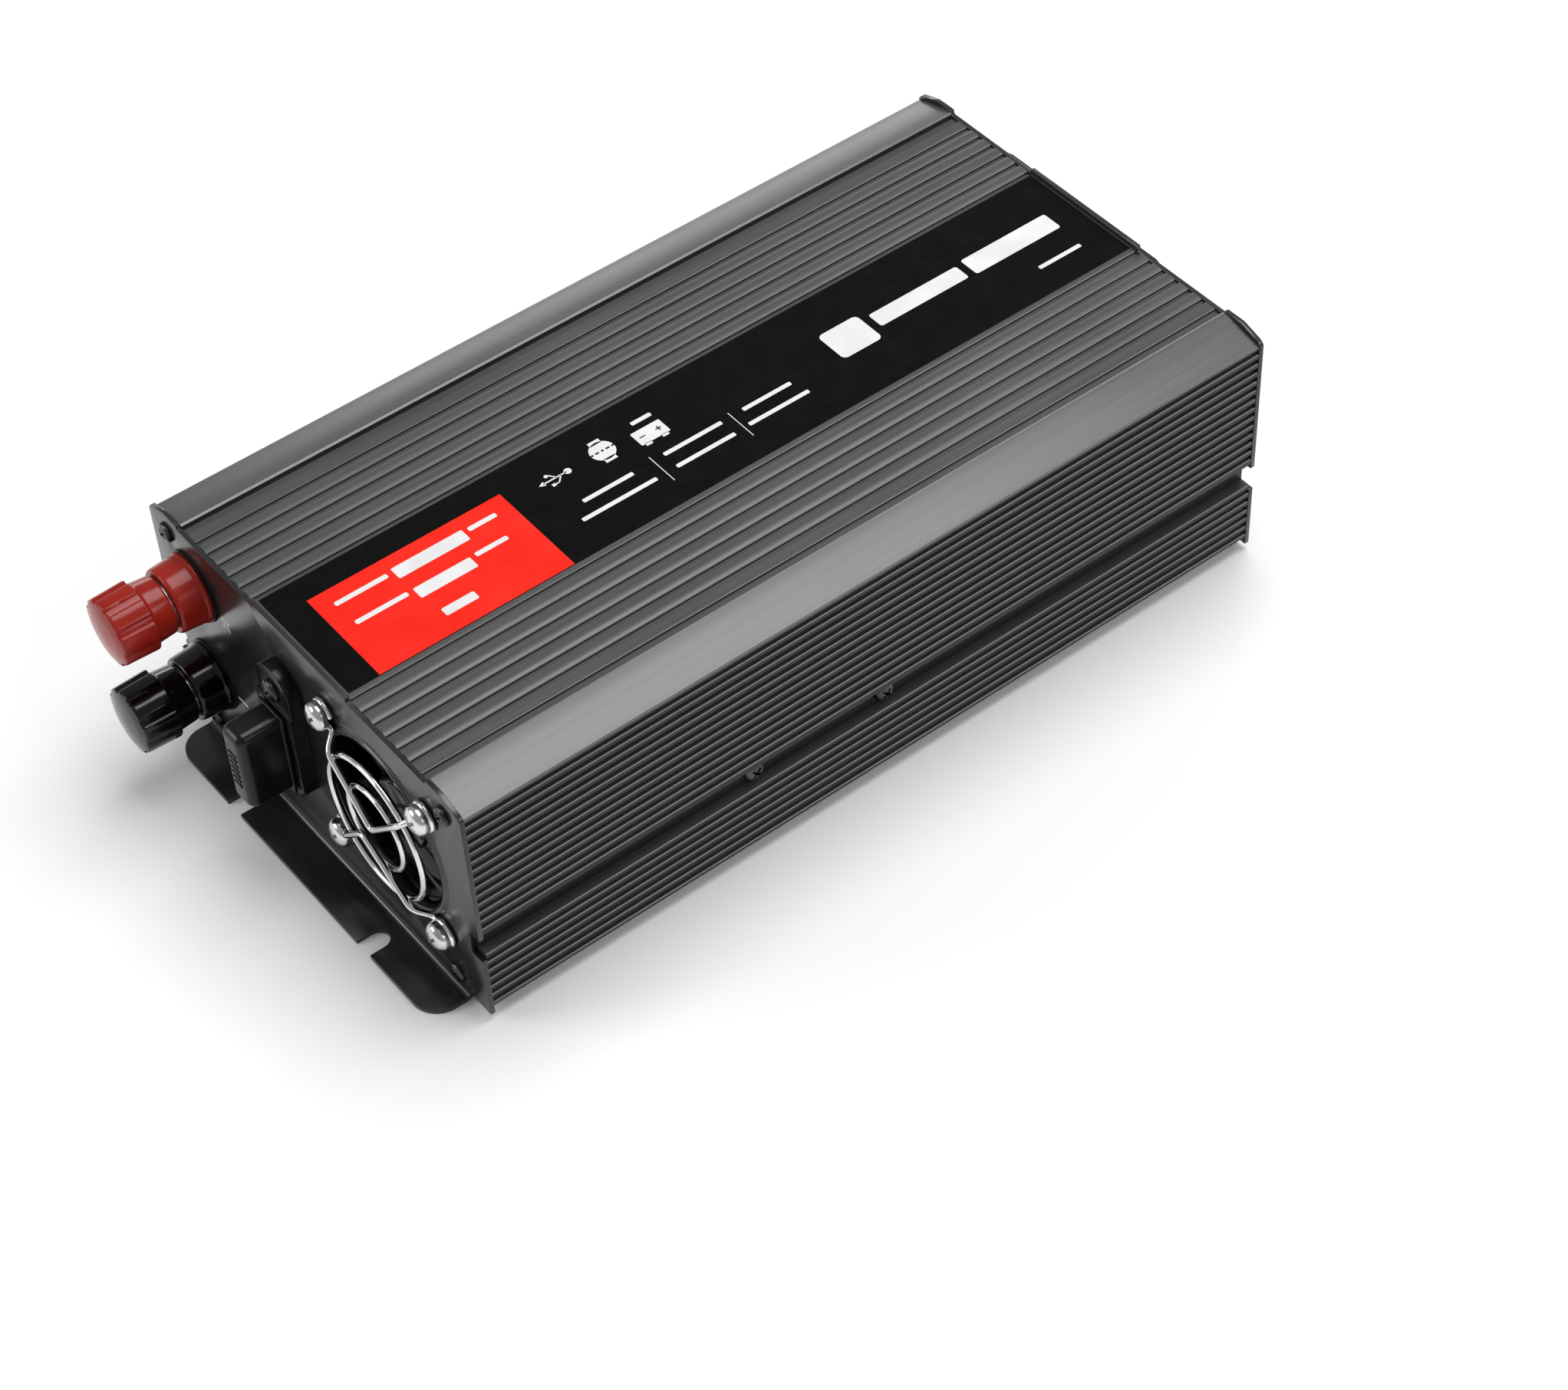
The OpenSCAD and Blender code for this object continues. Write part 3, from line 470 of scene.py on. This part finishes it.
def knob(colour):
    """Smooth collar, then a grip with broad raised lands, then a low dome."""
    node = colour + "_knob"
    low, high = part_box(node)
    centre = Vector(((low.x + high.x) / 2, high.y, (low.z + high.z) / 2))
    bm = bmesh.new()
    profile = rounded([
        (4.6, 0.0), (8.05, 0.0), (8.4, 0.5), (8.85, 6.0), (9.2, 6.3), (9.55, GRIP_START),
        (9.35, 12.0), (9.2, GRIP_END), (8.9, 17.0), (6.0, 17.6), (2.5, 17.95), (0.02, 18.05),
    ], 0.35, 2)
    turned(bm, profile, centre, DOWN_Y, 216)
    for vert in bm.verts:
        out = (centre.y - vert.co.y) / MM
        arm = Vector((vert.co.x - centre.x, 0, vert.co.z - centre.z))
        if arm.length < 8.95 * MM or not GRIP_START - 0.1 < out < GRIP_END + 0.4:
            continue
        turn = (atan2(arm.z, arm.x) / (2 * pi) * KNOB_LANDS) % 1.0
        if turn < LAND_SHARE:
            vert.co += arm.normalized() * LAND_HEIGHT * MM
    soften(bm, 30)
    material = RED_PLASTIC if colour == "positive" else BLACK_GLOSS
    obj = piece(node + "_turned", bm, material, node)
    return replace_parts(obj, node)


def post_base(colour):
    """Stepped insulator between the panel and the clamp washer."""
    node = colour + "_terminal_base"
    low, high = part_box(node)
    centre = Vector(((low.x + high.x) / 2, high.y, (low.z + high.z) / 2))
    bm = bmesh.new()
    turned(bm, rounded([
        (3.1, 0.0), (10.4, 0.0), (10.4, 0.9), (9.95, 1.5), (9.5, 8.0), (9.15, 8.8), (3.1, 8.8),
    ], 0.4), centre, DOWN_Y, 128)
    soften(bm, 30)
    material = RED_PLASTIC if colour == "positive" else BLACK_GLOSS
    obj = piece(node + "_turned", bm, material, node)
    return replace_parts(obj, node)


for polarity in ("positive", "negative"):
    knob(polarity)
    post_base(polarity)
    dressed(polarity + "_clamp_washer", 0.08)


# ------------------------------------------------------------------ fuse cap

CAP_ROUND = 2.7
CAP_WALL = 1.1


def box_mesh(low, high):
    """Eight-cornered solid between two corners, ready to be rounded."""
    bm = bmesh.new()
    bmesh.ops.create_cube(bm, size=1, matrix=Matrix.Translation((low + high) / 2)
                          @ Matrix.Diagonal((*(high - low), 1)))
    return bm


def fuse_cap():
    """Pillow-shaped hollow cap, open at the back, with plain finger ribs on its front."""
    low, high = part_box("fuse_holder_cap")
    lip_y = high.y - 4.9 * MM
    middle = (low + high) / 2
    half = Vector((4.8, 0, 13.6)) * MM
    shell = box_mesh(Vector((middle.x - half.x, low.y, middle.z - half.z)),
                     Vector((middle.x + half.x, lip_y + 0.3 * MM, middle.z + half.z)))
    back = [f for f in shell.faces if f.normal.y > 0.9]
    bmesh.ops.delete(shell, geom=back, context="FACES_ONLY")
    edges = [e for e in shell.edges if len(e.link_faces) == 2]
    bmesh.ops.bevel(shell, geom=edges, offset=CAP_ROUND * MM, affect="EDGES", segments=8,
                    profile=0.5, material=-1, clamp_overlap=True)
    bmesh.ops.recalc_face_normals(shell, faces=shell.faces)
    bmesh.ops.solidify(shell, geom=shell.faces[:], thickness=CAP_WALL * MM)
    bmesh.ops.recalc_face_normals(shell, faces=shell.faces)

    lip_and_ribs = [
        (Vector((middle.x - 5.3 * MM, lip_y, middle.z - 14.3 * MM)),
         Vector((middle.x + 5.3 * MM, lip_y + 1 * MM, middle.z + 14.3 * MM)), 0.3)]
    for k in range(7):
        z = middle.z + (k - 3) * 1.9 * MM
        lip_and_ribs.append((
            Vector((middle.x - 1.9 * MM, low.y - 0.35 * MM, z - 0.45 * MM)),
            Vector((middle.x + 1.9 * MM, low.y + 0.4 * MM, z + 0.45 * MM)), 0.25))
    for a, b, radius in lip_and_ribs:
        block_mesh = box_mesh(a, b)
        bmesh.ops.bevel(block_mesh, geom=block_mesh.edges[:], offset=radius * MM, affect="EDGES",
                        segments=3, profile=0.5, material=-1, clamp_overlap=True)
        join(shell, block_mesh)
    soften(shell, 50)
    obj = piece("fuse_cap_rounded", shell, BLACK_PLASTIC, "fuse_holder_cap")
    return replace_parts(obj, "fuse_holder_cap")


fuse_cap()


# ------------------------------------------------------------------ fan

ROTOR_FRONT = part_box("fan_rotor")[0].y
guard_low, guard_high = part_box("fan_guard")
FAN = Vector(((guard_low.x + guard_high.x) / 2, 0, (guard_low.z + guard_high.z) / 2))
PANEL_FACE = -(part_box("end_panel_screws")[1].y - 1.6 * MM)
WIRE = 0.9
RING_OUT = 3.1
CROSS_OUT = 4.9
EYELET = 3.75
SCREW_SPREAD = 22.5


def along(points, corner, steps=6):
    """The path with every corner rounded."""
    made = [points[0]]
    for before, bend, after in zip(points, points[1:], points[2:]):
        size = min(corner * MM, (before - bend).length / 2, (after - bend).length / 2)
        start = bend + (before - bend).normalized() * size
        end = bend + (after - bend).normalized() * size
        for i in range(steps + 1):
            t = i / steps
            made.append(start * (1 - t) ** 2 + bend * 2 * t * (1 - t) + end * t * t)
    made.append(points[-1])
    return made


def wire_mesh(paths, radius):
    """One mesh of round wire through each path; a path is (points, closed)."""
    curve = bpy.data.curves.new("wire_path", "CURVE")
    curve.dimensions = "3D"
    curve.bevel_depth = radius * MM
    curve.bevel_resolution = 5
    curve.use_fill_caps = True
    for points, closed in paths:
        spline = curve.splines.new("POLY")
        spline.points.add(len(points) - 1)
        for target, point in zip(spline.points, points):
            target.co = (*point, 1)
        spline.use_cyclic_u = closed
    holder = bpy.data.objects.new("wire_path", curve)
    mesh = bpy.data.meshes.new_from_object(holder)
    bpy.data.objects.remove(holder)
    bpy.data.curves.remove(curve)
    bm = bmesh.new()
    bm.from_mesh(mesh)
    bpy.data.meshes.remove(mesh)
    bmesh.ops.recalc_face_normals(bm, faces=bm.faces)
    soften(bm, 60)
    return bm


def guard_point(x, depth, z):
    """A point of the guard: millimetres from the fan's axis, and out of the panel."""
    return Vector((FAN.x + x * MM, PANEL_FACE - depth * MM, FAN.z + z * MM))


def ring(radius, depth, steps=96):
    turns = [2 * pi * i / steps for i in range(steps)]
    return [guard_point(radius * cos(a), depth, radius * sin(a)) for a in turns]


def guard_arm(corner, bend):
    """Loop round one screw, then the wire that climbs to the bend in the middle."""
    toward = Vector((bend[0] - corner[0], bend[1] - corner[1])).normalized()
    heading = atan2(toward.y, toward.x)
    path = [guard_point(corner[0] + EYELET * cos(heading + a), WIRE,
                        corner[1] + EYELET * sin(heading + a))
            for a in [radians(d) for d in range(-300, -5, 12)]]
    for reach, depth in ((5.2, WIRE), (9.2, CROSS_OUT)):
        path.append(guard_point(corner[0] + reach * toward.x, depth, corner[1] + reach * toward.y))
    return path


def fan_guard():
    """Two rings behind two bent wires, each looped round a pair of screws."""
    s = SCREW_SPREAD
    paths = [(ring(20.8, RING_OUT), True), (ring(12.1, RING_OUT), True)]
    for bend, first, second in (((0.6, 0.6), (-s, s), (s, s)), ((-5, -5.5), (-s, -s), (s, -s))):
        path = guard_arm(first, bend) + [guard_point(bend[0], CROSS_OUT, bend[1])]
        path += guard_arm(second, bend)[::-1]
        paths.append((along(path, 2.2), False))
    obj = piece("fan_guard_wires", wire_mesh(paths, WIRE), CHROME, "fan_guard")
    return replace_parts(obj, "fan_guard")


BLADES = 7


def fan_rotor():
    """Rounded hub cup with swept, twisted blades."""
    centre = Vector((FAN.x, ROTOR_FRONT, FAN.z))
    bm = bmesh.new()
    turned(bm, rounded([(0.02, 0.0), (9.6, 0.0), (10.6, 1.0), (10.6, 10.0), (9.2, 10.0),
                        (9.2, 1.6), (0.02, 1.6)], 0.6), centre, Vector((0, 1, 0)), 72)
    for index in range(BLADES):
        blade = bmesh.new()
        bmesh.ops.create_grid(blade, x_segments=10, y_segments=12, size=0.5)
        for vert in blade.verts:
            u, v = vert.co.x + 0.5, vert.co.y + 0.5
            radius = 10.3 + u * 13.8
            chord = radians(44 - 6 * u)
            angle = chord * (v - 0.5) + radians(16) * u * u
            depth = 1.2 + 7.8 * v - 0.9 * sin(pi * v) + 0.6 * u * (v - 0.5)
            vert.co = Vector((radius * cos(angle), depth, radius * sin(angle))) * MM
        bmesh.ops.solidify(blade, geom=blade.faces, thickness=1.0 * MM)
        bmesh.ops.recalc_face_normals(blade, faces=blade.faces)
        turn = Matrix.Rotation(2 * pi * index / BLADES, 4, "Y")
        bmesh.ops.transform(blade, matrix=Matrix.Translation(centre) @ turn, verts=blade.verts)
        join(bm, blade)
    soften(bm, 40)
    obj = piece("fan_rotor_swept", bm, BLACK_GLOSS, "fan_rotor")
    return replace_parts(obj, "fan_rotor")


def pressed_rim():
    """Softly rolled lip on the panel's edge round the fan's opening."""
    bm = bmesh.new()
    centre = Vector((FAN.x, PANEL_FACE, FAN.z))
    turned(bm, rounded([(25.05, -0.9), (25.05, 0.35), (25.9, 0.7), (26.9, 0.35), (27.4, -0.02)],
                       0.5), centre, DOWN_Y, 160)
    soften(bm, 60)
    return piece("fan_opening_rim", bm, POWDER, "dc_end_panel")


fan_guard()
fan_rotor()
pressed_rim()


# ------------------------------------------------------------------ printing

INK = 0.03 * MM
LABEL_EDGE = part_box("top_label")[1].x
LABEL_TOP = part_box("top_label")[1].z


def flat_shape(bm, corners, corner_radius=0.0):
    """A thin printed shape on the label; corners run anticlockwise in millimetres."""
    verts = [bm.verts.new((x * MM, y * MM, LABEL_TOP)) for x, y in corners]
    bm.faces.new(verts)
    if corner_radius:
        bmesh.ops.bevel(bm, geom=verts, offset=corner_radius * MM, affect="VERTICES",
                        segments=6, profile=0.5, material=-1)


def block(bm, x0, x1, y0, y1, corner_radius=0.0):
    flat_shape(bm, [(x0, y0), (x1, y0), (x1, y1), (x0, y1)], corner_radius)


def disc(bm, x, y, radius, segments=48):
    bmesh.ops.create_circle(
        bm, cap_ends=True, segments=segments, radius=radius * MM,
        matrix=Matrix.Translation(Vector((x * MM, y * MM, LABEL_TOP))))


def stroke(bm, start, end, width):
    """Straight printed line between two points."""
    a, b = Vector(start), Vector(end)
    side = (b - a).normalized().orthogonal() * width / 2
    flat_shape(bm, [tuple(a - side), tuple(b - side), tuple(b + side), tuple(a + side)][::-1])


def printed(name, bm, material, layer=0):
    """Gives the drawn shapes the thickness of ink, and lays them on the label."""
    bmesh.ops.recalc_face_normals(bm, faces=bm.faces)
    for face in bm.faces:
        if face.normal.z < 0:
            face.normal_flip()
    lifted = bmesh.ops.extrude_face_region(bm, geom=bm.faces[:])
    verts = [v for v in lifted["geom"] if isinstance(v, bmesh.types.BMVert)]
    bmesh.ops.translate(bm, verts=verts, vec=UP * INK * (layer + 1))
    bmesh.ops.recalc_face_normals(bm, faces=bm.faces)
    return piece(name, bm, material, "top_label")


def label_print():
    """Red patch, plain bars where lettering would be, and three plain symbols."""
    patch = bmesh.new()
    block(patch, -13.4, LABEL_EDGE / MM - 0.1, -119.6, -59.8)
    printed("label_red_patch", patch, RED_INK)

    bars = bmesh.new()
    for x0, x1, y0, y1 in (
        (-9.0, -4.6, -97.0, -75.0), (-8.4, -6.8, -114.8, -98.8), (-8.6, -7.0, -73.6, -64.8),
        (0.6, 4.8, -96.6, -79.0), (0.4, 2.0, -114.3, -98.4), (0.2, 1.8, -77.4, -67.3),
        (11.2, 14.2, -95.2, -85.2),
    ):
        block(bars, x0, x1, y0, y1, 0.5)
    printed("label_patch_bars", bars, WHITE_INK, 1)

    marks = bmesh.new()
    block(marks, -7.4, 4.4, 41.0, 54.4, 1.6)
    for x, y0, y1 in ((3.0, -44.8, -28.6), (8.6, -49.0, -25.0), (2.6, -18.3, 0.8),
                      (8.4, -18.4, 0.9), (2.4, 8.0, 24.2), (8.0, 5.8, 26.0), (10.3, 105.0, 120.0),
                      (-12.4, -18.0, -11.5)):
        block(marks, x - 0.7, x + 0.7, y0, y1, 0.4)
    for y in (-21.9, 4.15):
        block(marks, 0.8, 12.1, y - 0.12, y + 0.12)
    block(marks, -5.2, 0.6, 57.0, 88.0, 0.8)
    block(marks, -6.2, 1.0, 90.5, 121.0, 0.8)
    block(marks, -9.4, -3.8, -20.6, -11.2, 0.4)
    for y in (-18.6, -13.2):
        block(marks, -4.0, -2.9, y - 1.0, y + 1.0)
    disc(marks, -9.2, -29.7, 3.7)
    for x in (-13.0, -5.4):
        block(marks, x - 0.8, x + 0.8, -31.5, -27.9)
    stroke(marks, (-8.9, -49.0), (-8.9, -41.6), 0.45)
    disc(marks, -8.9, -41.2, 1.1, 24)
    flat_shape(marks, [(-9.8, -48.6), (-8.9, -50.4), (-8.0, -48.6)][::-1])
    stroke(marks, (-8.9, -43.4), (-6.9, -45.2), 0.4)
    stroke(marks, (-6.9, -45.2), (-6.9, -46.4), 0.4)
    block(marks, -7.4, -6.4, -47.4, -46.4)
    stroke(marks, (-8.9, -44.8), (-10.9, -46.2), 0.4)
    disc(marks, -10.9, -46.8, 0.6, 20)
    printed("label_white_marks", marks, WHITE_INK)

    cuts = bmesh.new()
    disc(cuts, -9.2, -29.7, 0.4, 20)
    for y in (-31.4, -28.0):
        block(cuts, -9.5, -8.9, y - 0.65, y + 0.65, 0.28)
    for y in (-33.1, -26.3):
        block(cuts, -9.5, -8.9, y - 0.5, y + 0.5)
    block(cuts, -6.8, -6.4, -19.4, -17.6)
    block(cuts, -6.8, -6.4, -14.2, -12.4)
    block(cuts, -7.5, -5.7, -13.5, -13.1)
    printed("label_black_cuts", cuts, BLACK_INK, 1)


def polarity_marks():
    """A diagonal cross by the red post and a bar by the black one, printed on the panel."""
    bm = bmesh.new()
    across = 4.8
    for z, turns in ((57.9, (45, 135)), (28.2, (0,))):
        for turn in turns:
            bmesh.ops.create_grid(
                bm, x_segments=1, y_segments=1, size=0.5,
                matrix=Matrix.Translation((-39.2 * MM, PANEL_FACE - 0.04 * MM, z * MM))
                @ Matrix.Rotation(radians(turn), 4, "Y") @ Matrix.Rotation(radians(90), 4, "X")
                @ Matrix.Diagonal((across * MM, 0.75 * MM, 1, 1)))
    bmesh.ops.solidify(bm, geom=bm.faces[:], thickness=0.03 * MM)
    bmesh.ops.recalc_face_normals(bm, faces=bm.faces)
    return piece("polarity_marks", bm, WHITE_INK, "dc_end_panel")


label_print()
polarity_marks()


# ------------------------------------------------------------------ remaining solids

for node, obj in frame["nodes"].items():
    obj.data.materials.clear()
    obj.data.materials.append(SLOT_FINISH[slot_of[node]])


# ------------------------------------------------------------------ studio

def studio_floor():
    bm = bmesh.new()
    bmesh.ops.create_grid(bm, x_segments=8, y_segments=8, size=2.5)
    mesh = bpy.data.meshes.new("floor")
    bm.to_mesh(mesh)
    bm.free()
    mesh.materials.append(studio_paper())
    floor = bpy.data.objects.new("floor", mesh)
    bpy.context.collection.objects.link(floor)


def soft_light(name, place, target, size, power):
    data = bpy.data.lights.new(name, "AREA")
    data.shape = "RECTANGLE"
    data.size, data.size_y = size
    data.energy = power
    lamp = bpy.data.objects.new(name, data)
    lamp.location = place
    lamp.rotation_mode = "QUATERNION"
    lamp.rotation_quaternion = (Vector(target) - Vector(place)).to_track_quat("-Z", "Y")
    bpy.context.collection.objects.link(lamp)


def studio_lights():
    soft_light("overhead", (0.0, 0.3, 1.3), (0.02, 0, 0.05), (0.9, 0.9), 14)
    soft_light("right_rim", (1.1, 0.62, 0.85), (0.05, 0, 0.05), (1.3, 0.5), 7)
    soft_light("far_strip", (-1.2, 0.9, 0.35), (0, 0, 0.08), (1.2, 0.35), 5)
    soft_light("front_left", (-0.7, -1.1, 0.55), (-0.03, -0.13, 0.05), (0.6, 0.6), 6)
    world = bpy.data.worlds.new("studio")
    world.use_nodes = True
    sky = world.node_tree.nodes["Background"]
    sky.inputs["Color"].default_value = (1, 1, 1, 1)
    sky.inputs["Strength"].default_value = 0.34
    bpy.context.scene.world = world


def main_camera():
    """Camera above the battery end, looking along the length from the fan's side."""
    place = Vector((0.5686, -0.3902, 0.7152))
    azimuth, elevation, roll = radians(54.352), radians(47.225), radians(-3.426)
    forward = Vector((-sin(azimuth) * cos(elevation), cos(azimuth) * cos(elevation),
                      -sin(elevation)))
    level = Vector((cos(azimuth), sin(azimuth), 0))
    upright = level.cross(forward)
    right = cos(roll) * level + sin(roll) * upright
    top = cos(roll) * upright - sin(roll) * level
    data = bpy.data.cameras.new("camera")
    data.sensor_width = 36
    data.lens = 81.146
    camera = bpy.data.objects.new("camera", data)
    camera.matrix_world = Matrix.Translation(place) @ Matrix(
        (right, top, -forward)).transposed().to_4x4()
    bpy.context.collection.objects.link(camera)
    bpy.context.scene.camera = camera


studio_floor()
studio_lights()
main_camera()
bpy.context.scene.view_settings.view_transform = "Standard"
